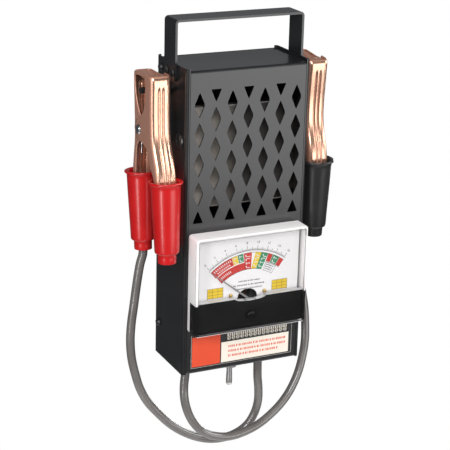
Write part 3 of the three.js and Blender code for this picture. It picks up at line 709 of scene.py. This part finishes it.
def scale_lines():
    """The arcs that frame the cells, and the scale's ticks."""
    # Inner and outer radius, start, end, steps.
    arcs = ((54.1, 54.4, -42, 37, 60), (52.4 - 0.12, 52.4 + 0.12, -41.6, 36.3, 60),
            (45.0 - 0.12, 45.0 + 0.12, 18.7, 36.3, 20), (38.1, 38.35, -40.8, 16.4, 40),
            (37.6, 37.85, 18.9, 32.4, 12), (44.4, 44.6, 18.9, 32.4, 12),
            (37.6, 44.6, 18.9, 18.9 + 0.3, 1), (37.6, 44.6, 32.1, 32.1 + 0.3, 1))
    out = [ring_sector(*arc) for arc in arcs]
    for k in range(81):
        a = SCALE_START + SCALE_SWEEP * k / 80
        tall = 58.6 if k % 10 == 0 else (57.2 if k % 5 == 0 else 55.7)
        out.append(ring_sector(54.2, tall, a - 0.12, a + 0.12, 1))
    return out


def table_grids():
    out = []
    for x in TABLES_X:
        for k in range(4):
            z = -189.4 + 2.8 * k
            out.append(rect(x - TABLE_HALF, x + TABLE_HALF, z - 0.1, z + 0.1))
        for k in range(4):
            u = x - 7.0 + 4.67 * k
            out.append(rect(u - 0.1, u + 0.1, TABLE_LOW, TABLE_HIGH))
    return out


def dial_words():
    """Bars in place of the lines of words under the scale and in the white box."""
    out = []
    for k, (half, z) in enumerate(((9.5, -178.6), (14.0, -182.0), (12.0, -185.2))):
        out += bars(ARC_X - half, ARC_X + half, z, 1.0, 0.55, 3 + k)
    for k in range(3):
        r = 39.2 + 1.8 * k
        out += [ring_sector(r, 39.9 + 1.8 * k, a, a + 1.4, 1) for a in (20.2, 22.2, 24.4, 26.2, 28.6)]
    return out


def band_words():
    """White bars in place of the words on the coloured cells."""
    out = []
    for a0, a1, r, tall in ((-39.0, -20, 49.2, 1.9), (-37, -21.5, 46.4, 1.7), (-39, -24, 40.3, 2.3)):
        a, k = a0, 1
        while a < a1:
            k = (k * 5 + 3) % 7
            wide = 1.1 + 0.18 * (k % 4)
            if k != 2:
                out.append(ring_sector(r, r + tall, a, a + wide * 0.62, 1))
                out.append(ring_sector(r, r + 0.5, a, a + wide, 1))
            a += wide + 0.75
    # Upright words: where each starts and ends, the radius of each mark, and how far it leans with its cell.
    pair, four, wide_four = (46.2, 49.4), (40.0, 43.0, 46.0, 49.0), (39.4, 42.6, 45.8, 49.0)
    upright = ((-4.6, 0.6, wide_four, 0.0), (-16.6, -13.8, pair, 0.0), (-11.0, -8.0, pair, 0.0),
               (4.6, 8.6, four, 0.24), (11.2, 15.6, four, 0.24), (25.4, 29.4, pair, 0.0))
    for a0, a1, rows, slope in upright:
        for k, r in enumerate(rows):
            lean = slope * (r - 39)
            arm = r + 0.7 * (k % 3)
            out.append(ring_sector(r, r + 1.9, a0 + lean, a0 + lean + 1.0, 1))
            out.append(ring_sector(arm, arm + 0.5, a0 + lean, a1 + lean, 1))
    return out


def dial_numbers():
    """Even numbers from 0 to 16 round the scale."""
    radius = 60.9
    for k in range(9):
        a = RAD(SCALE_START + SCALE_SWEEP * k / 8)
        cu = bpy.data.curves.new(f"dial_number_{2 * k}", "FONT")
        cu.body = str(2 * k)
        cu.size = 2.8 * MM
        cu.align_x = "CENTER"
        cu.align_y = "CENTER"
        cu.extrude = 0.03 * MM
        cu.materials.append(INK_BLACK)
        ob = link(f"dial_number_{2 * k}", cu)
        place = at(ARC_X + radius * math.sin(a), DIAL_Y - 0.04, ARC_Z + radius * math.cos(a))
        upright = Matrix.Rotation(math.pi / 2, 4, "X")
        ob.matrix_world = Matrix.Translation(place) @ upright @ Matrix.Rotation(-a, 4, "Z")
        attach(ob, "case")


dial_bands()
print_on("dial_print_black", scale_lines() + table_grids() + dial_words(), INK_BLACK, lift=0.09)
print_on("dial_print_white", band_words(), DIAL, lift=0.09)
dial_numbers()


def dial_screws():
    profile = [[0, -4], [1.1, -3.9], [1.1, 0], [1.75, 0], [1.8, 0.35], [1.5, 0.8], [0.8, 0.98], [0, 1.0]]
    for side, word in ((-1, "left"), (1, "right")):
        head = facing((0, -1, 0), side * 15.4, -7.9, -189)
        ob = make(f"dial_screw_head_{word}", *lathe(profile, head, 32), BRASS)
        carve(ob, loose("cutter", *cross_recess(head @ Matrix.Translation((0, 0, 0.001)), 2.2, 0.45, 0.22)))
        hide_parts(f"dial_screw_{word}")


def zero_screw():
    head = facing((0, -1, 0), 0, -16, -205.3)
    profile = [[0, -5.8], [3.4, -5.8], [3.5, -5.6], [3.5, 0.35], [3.2, 0.7], [2.6, 0.8], [0, 0.8]]
    ob = make("zero_adjust_head", *lathe(profile, head, 40), BLACK, "zero_screw")
    slot_half, slot_side = 4.2, 0.5
    corners = [head @ Vector((sx * slot_half * MM, sy * slot_side * MM, z * MM)) for z in (-0.4, 1.6)
               for sx, sy in ((-1, -1), (1, -1), (1, 1), (-1, 1))]
    carve(ob, loose("cutter", corners, BOX_FACES))
    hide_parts("zero_adjust_screw")


dial_screws()
zero_screw()

# ---- label ----

LABEL_Y = -0.45


def title_marks():
    """Letter-like marks: each is a stem with two arms, and some close with a second stem."""
    low, high, arm_gap = -231.6, -225.6, 2.45
    out, x, k = [], -13.6, 1
    while x < 41.5:
        k = (k * 5 + 3) % 7
        w = 2.9 + 0.2 * (k % 3)
        if k != 2:
            out.append(rect(x, x + 1.25, low, high))
            for j in range(3):
                if (k + j) % 3:
                    out.append(rect(x, x + w, low + arm_gap * j, -230.5 + arm_gap * j))
            if k % 2:
                out.append(rect(x + w - 1.0, x + w, low, high))
        x += w + 0.9
    return out


def label():
    print_on("label_square", [rect(-45.5, -20, -251, -224.5)], INK_ORANGE, LABEL_Y, 0.05)
    print_on("label_panel", [rect(-19, 43.6, -250.8, -232.8)], LABEL, LABEL_Y, 0.05)
    lines = []
    for k, end in enumerate((42.0, 41.0, 34.0)):
        lines += bars(-12.5, end, -238.2 - 4.2 * k, 1.9, 0.55, 2 + k)
    print_on("label_lines", lines, INK_ORANGE, LABEL_Y - 0.05, 0.05)
    border = [rect(-46.4, 46.4, -252.1, -251.8)]
    border += [rect(x, x + 0.3, -252, -222.6) for x in (-46.4, 46.1)]
    print_on("label_border", border, GREY_INK_AND_HIGHLIGHT, LABEL_Y, 0.05)
    print_on("label_title", title_marks(), LABEL, LABEL_Y - 0.05, 0.05)


label()

# ---- toggle ----


def toggle():
    pivot = facing((0, 0, -1), 0, 22, -261)
    bat = [[0, -3.6], [1.8, -3.1], [3.1, -1.8], [3.6, 0], [3.1, 1.8], [2.2, 2.8], [2.15, 5], [2.3, 8],
           [2.55, 14], [2.68, 18], [2.66, 20], [2.4, 21.6], [1.8, 22.5], [0.9, 22.95], [0, 23]]
    ob = make("toggle_bat", *lathe(bat, pivot, 40), CHROME, "toggle", angle=60)
    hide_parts("toggle_lever")


toggle()

# ---- clamps ----


def table(points, z):
    """Straight interpolation in a list of [z, value], highest z first."""
    if z >= points[0][0]:
        return points[0][1]
    for (z0, v0), (z1, v1) in zip(points, points[1:]):
        if z >= z1:
            f = (z0 - z) / (z0 - z1)
            return v0 + (v1 - v0) * f
    return points[-1][1]


def eased(points, z, width):
    """The table's value with its corners rounded over this width."""
    n = 15
    return sum(table(points, z + width * (k - 7) / 7) for k in range(n)) / n


def ridge(x, half):
    """Three raised flutes with narrow valleys between them, across the web."""
    pitch = half * 0.80 * 2 / 3
    near = min(abs(x - pitch * k) for k in (-0.5, 0.5))
    return 1.0 - math.exp(-(near / 0.68) ** 2) - 0.12 * (near / pitch)


NOSE_RADIUS, BEND_RADIUS = 4.0, 3.4
TOOTH_PITCH, TOOTH_DEPTH = 2.9, 0.75


def stations(z_top, z_low, teeth):
    """The heights of a stamped half's cross sections, which are closer where it has teeth."""
    zs = []
    z = z_top
    while z > z_low:
        zs.append(z)
        z -= 0.75 if teeth and z > z_top - 13 else 1.4
    zs.append(z_low)
    return zs


def cross_section(half, web_y, edge_y, sign, flute):
    """From one side plate's edge over the web to the other's, as (x, y) in mm."""
    c = min(BEND_RADIUS, abs(web_y - edge_y) * 0.8)
    inner = half - c
    row = []
    for k in range(9):
        f = k / 9
        row.append((-half, edge_y + (web_y - sign * c - edge_y) * f))
    for k in range(7):
        a = RAD(90 * k / 7)
        row.append((-half + c * (1 - math.cos(a)), web_y - sign * c * (1 - math.sin(a))))
    steps = 40
    for k in range(steps + 1):
        x = -inner + 2 * inner * k / steps
        lift = flute * (ridge(x, inner + 1.4) - 1.0)
        row.append((x, web_y + sign * lift))
    for k in range(7):
        a = RAD(90 * (7 - k) / 7)
        row.append((half - c * (1 - math.cos(a)), web_y - sign * c * (1 - math.sin(a))))
    for k in range(10):
        f = k / 9
        row.append((half, web_y - sign * c + (edge_y - web_y + sign * c) * f))
    return row


def channel(half, web, edge, sign, z_top, z_low, flutes, teeth, place):
    """A stamped half: a web with flutes and two side plates; web and edge give y against z."""
    rows = []
    for z in stations(z_top, z_low, teeth):
        web_y = eased(web, z, 9.0 if flutes else 2.2)
        # Round the nose over.
        drop = max(0.0, z - (z_top - NOSE_RADIUS))
        web_y -= sign * (NOSE_RADIUS - math.sqrt(max(0.0, NOSE_RADIUS ** 2 - drop * drop))) * 0.75
        edge_y = eased(edge, z, 0.9)
        if teeth and z > z_top - 12:
            edge_y += sign * TOOTH_DEPTH * abs(((z_top - z) / TOOTH_PITCH) % 1.0 - 0.5) * 2
        # The flutes start a little below the nose.
        fade = min(1.0, max(0.0, (z_top - 7.5 - z) / 6.0))
        fade = fade * fade * (3 - 2 * fade)
        section = cross_section(half, web_y, edge_y, sign, flutes * fade)
        rows.append([place @ Vector((x * MM, y * MM, z * MM)) for x, y in section])
    n = len(rows[0])
    verts = [v for row in rows for v in row]
    faces = []
    for i in range(len(rows) - 1):
        for k in range(n - 1):
            quad = [i * n + k, i * n + k + 1, (i + 1) * n + k + 1, (i + 1) * n + k]
            faces.append(quad if sign > 0 else quad[::-1])
    return verts, faces


def cap(half, y0, y1, z, sign, place):
    """The nose's folded top with a wavy lip; y0 is the outer corner and y1 the lip."""
    rows = []
    for i in range(13):
        f = i / 12
        row = []
        for k in range(29):
            x = -half + 2 * half * k / 28
            wave = 0.9 * math.cos(3 * math.pi * x / half) * f * f
            droop = -0.9 * f * f
            side = -1.6 * (abs(x) / half) ** 6
            row.append(place @ Vector((x * MM, (y0 + (y1 - y0) * f) * MM, (z + wave + droop + side) * MM)))
        rows.append(row)
    n = len(rows[0])
    faces = [[i * n + k, i * n + k + 1, (i + 1) * n + k + 1, (i + 1) * n + k]
             for i in range(12) for k in range(n - 1)]
    if sign > 0:
        faces = [f[::-1] for f in faces]
    return [v for r in rows for v in r], faces


# The two halves' depths in mm against height: the web's outside and the side plates' edge.
FRONT_WEB = [[47, -23.4], [42, -24.0], [11, -24.3], [-6, -26.1], [-28, -37.1], [-41, -38.9], [-66, -39.5]]
FRONT_EDGE = [[47, -11.0], [42, -10.6], [38, -12.0], [30, -12.2], [22, -11.2], [16, -8.6], [11.6, -4.0],
              [9.0, 2.0], [6.4, 6.4], [0, 9], [-6.4, 6.4], [-8.8, 0], [-9.4, -9], [-13, -17.5], [-25, -24],
              [-32.5, -30.6], [-42, -31.8], [-66, -34.6]]
REAR_WEB = [[45, 17.0], [38, 17.4], [9, 15.4], [-9, 14.3], [-31, 18], [-41, 19], [-78, 15.8]]
REAR_EDGE = [[45, -10.9], [43.4, -10.9], [42.8, 9.0], [41.5, 12.6], [36, 13.0], [30, 11.8], [24, 10.0],
             [18, 7.2], [13, 3.6], [10.2, 0.2], [6.4, -6.4], [0, -9], [-6.4, -6.4], [-9.6, 3], [-16, 8.8],
             [-42, 11.2], [-78, 10.4]]


def stamped(name, parts, body):
    """Copper-plated sheet 1.1 mm thick; its sides and top take a darker, less metallic copy of the copper as
    painted shade.
    """
    ob = make(name, *gather(parts), COPPER, body, angle=179, recalc=False)
    ob.data.materials.append(COPPER_SHADED)
    # Faces turned sideways or upwards get the darker copy of the copper, which is painted shade.
    for p in ob.data.polygons:
        if abs(p.normal.x) > 0.62 or p.normal.z > 0.6:
            p.material_index = 1
    mod = ob.modifiers.new("wall", "SOLIDIFY")
    mod.thickness = 1.1 * MM
    mod.offset = -1.0
    mod.use_even_offset = False
    return ob


def boot(name, body, place, y0, z0, y1, z1, material, bore):
    """A vinyl sleeve from its flared mouth at y0, z0 towards y1, z1; bore is the cable hole's radius."""
    lean = math.atan2(y1 - y0, z0 - z1)
    mouth = place @ Matrix.Translation((0, y0 * MM, z0 * MM)) @ Matrix.Rotation(lean, 4, "X")
    outer = [[9.9, -56.9], [10.0, -56.0], [10.35, -45], [11.0, -30], [11.55, -16], [11.85, -6], [12.0, -3.2],
             [12.4, -2.3], [13.2, -1.9], [13.7, -1.6], [13.85, -1.0], [13.7, -0.4], [13.2, -0.05], [12.3, 0],
             [11.3, -0.25], [10.8, -0.9], [10.5, -2.4], [10.4, -5], [8.6, -50]]
    neck = [[7.2, -66.4], [7.35, -66.0], [7.45, -62], [7.5, -59.4], [7.9, -58.6], [9.2, -58.2], [9.7, -57.7]]
    if bore:
        profile = [[bore, -57.0], [bore, -66.2], [bore + 0.4, -66.4]] + neck + outer + [[bore, -57.0]]
    else:
        profile = [[0, -66.4]] + neck + outer + [[0, -52]]
    return make(name, *lathe(profile, mouth, 72), material, body, angle=42)


def spring(name, place):
    """A torsion spring: close coils round the rivet and two legs."""
    turns, radius, width, start, pitch = 5.5, 4.9, 1.25, -3.9, 1.42
    coil = []
    for k in range(int(turns * 24) + 1):
        a = TAU * k / 24
        coil.append(Vector((start + pitch * k / 24, radius * math.cos(a), radius * math.sin(a))))
    head = [Vector((start, 5.0, -21.5)), Vector((start, 5.0, -12)), Vector((start, 4.95, -4))]
    tail = [coil[-1] + Vector((0.0, 0.1, -3.5)), coil[-1] + Vector((0.0, -0.1, -13.5))]
    line = [place @ (p * MM) for p in head + coil + tail]
    ob = wire(name, line, width / 2 * MM, 4, ZINC)
    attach(ob, "case")
    return ob


def clamp(word, side, y, z, tilt, material):
    """One clamp, about its rivet; the front half moves and the rear half stays on its peg."""
    place = Matrix.Translation(at(side * PEG_X, y, z)) @ Matrix.Rotation(RAD(tilt), 4, "X")
    front = stamped(f"{word}_front_stamping", [
        channel(8.65, FRONT_WEB, FRONT_EDGE, -1, 47, -66, 1.0, True, place),
        cap(7.6, -22.4, -11.8, 46.6, -1, place)], f"{word}_front_half")
    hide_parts(f"{word}_clamp_front_jaw")
    rear = stamped(f"{word}_rear_stamping", [
        channel(7.0, REAR_WEB, REAR_EDGE, 1, 45, -78, 0.8, False, place),
        cap(6.4, 16.0, -10.6, 44.6, 1, place)], "case")
    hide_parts(f"{word}_clamp_rear_jaw")
    ob = boot(f"{word}_front_sleeve", f"{word}_front_half", place, -34.6, -34, -39.6, -100.4, material, 0)
    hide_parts(f"{word}_clamp_front_boot")
    ob = boot(f"{word}_rear_sleeve", "case", place, 15.4, -38.6, 10.2, -104.6, material, 4.1)
    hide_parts(f"{word}_clamp_rear_boot")
    ob = spring(f"{word}_torsion_spring", place)
    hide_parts(f"{word}_clamp_spring")


clamp("red", -1, 36.2, -54.2, 0.0, RED_BOOT)
clamp("black", 1, 41.7, -49.6, 5.5, DARK_BOOT)

# ---- shield lips ----

# Two pale strips across the heat shield, painted highlights for its folded edges where they catch the light,
# which show through the grille's holes.
lips = [prism(rect(-47.6, 47.6, z0, z1), 17.0, 17.45) for z0, z1 in ((-36.5, -35.95), (-119.05, -118.5))]
ob = make("shield_lips", *gather(lips), GREY_INK_AND_HIGHLIGHT)

# ---- stage, world and lights ----


def stage():
    """A pale round floor, well below the tester, which hangs by its handle."""
    radius, height, sides = 0.55, -0.74, 96
    turns = [TAU * k / sides for k in range(sides)]
    ring = [(radius * math.cos(a), radius * math.sin(a), height) for a in turns]
    me = bpy.data.meshes.new("floor")
    me.from_pydata(ring, [], [list(range(sides))])
    me.materials.append(shader("floor_white", (0.9, 0.9, 0.9), 0.7)[0])
    ob = link("floor", me)


def world():
    """A dim sky that lights the object, and a white one that only the camera sees."""
    w = bpy.data.worlds.new("studio")
    w.use_nodes = True
    t = w.node_tree
    bg = t.nodes["Background"]
    bg.inputs["Color"].default_value = (0.9, 0.95, 1.0, 1)
    bg.inputs["Strength"].default_value = 0.085
    seen = t.nodes.new("ShaderNodeBackground")
    seen.inputs["Color"].default_value = (1, 1, 1, 1)
    seen.inputs["Strength"].default_value = 1.0
    path = t.nodes.new("ShaderNodeLightPath")
    mix = t.nodes.new("ShaderNodeMixShader")
    t.links.new(path.outputs["Is Camera Ray"], mix.inputs["Fac"])
    t.links.new(bg.outputs["Background"], mix.inputs[1])
    t.links.new(seen.outputs["Background"], mix.inputs[2])
    t.links.new(mix.outputs["Shader"], t.nodes["World Output"].inputs["Surface"])
    bpy.context.scene.world = w


def softbox(name, where, look, size, power, colour=(1, 1, 1), roll=0.0):
    """A rectangular light at where, turned to look at a point; size is in metres and power in watts."""
    li = bpy.data.lights.new(name, "AREA")
    li.shape = "RECTANGLE"
    li.size, li.size_y = size
    li.energy = power
    li.color = colour
    ob = link(name, li)
    aim = (Vector(look) - Vector(where)).to_track_quat("-Z", "Y").to_matrix().to_4x4()
    ob.matrix_world = Matrix.Translation(where) @ aim @ Matrix.Rotation(RAD(roll), 4, "Z")


stage()
world()
softbox("key", (-0.75, -1.7, 1.05), (0, 0, -0.15), (0.9, 0.9), 29)
softbox("card", (0.70, -1.18, -0.235), (0, 0, -0.12), (0.90, 0.68), 6.3, roll=8)
softbox("fill", (1.5, -0.5, 0.5), (0, 0, -0.15), (0.7, 1.1), 17)
softbox("back", (0.75, 1.5, 0.65), (0, 0, -0.1), (1.1, 0.7), 0.58, (0.93, 0.96, 1.0))
softbox("strip", (-1.25, -0.75, 0.0), (0, 0, -0.15), (0.22, 1.3), 13)
softbox("top", (-0.3, -0.6, 1.5), (0, 0, -0.1), (0.6, 0.6), 8)
softbox("rear", (1.5, 1.3, -0.3), (0, 0, -0.15), (0.5, 0.8), 9)

bpy.context.scene.view_settings.view_transform = "Standard"
bpy.context.scene.view_settings.look = "None"
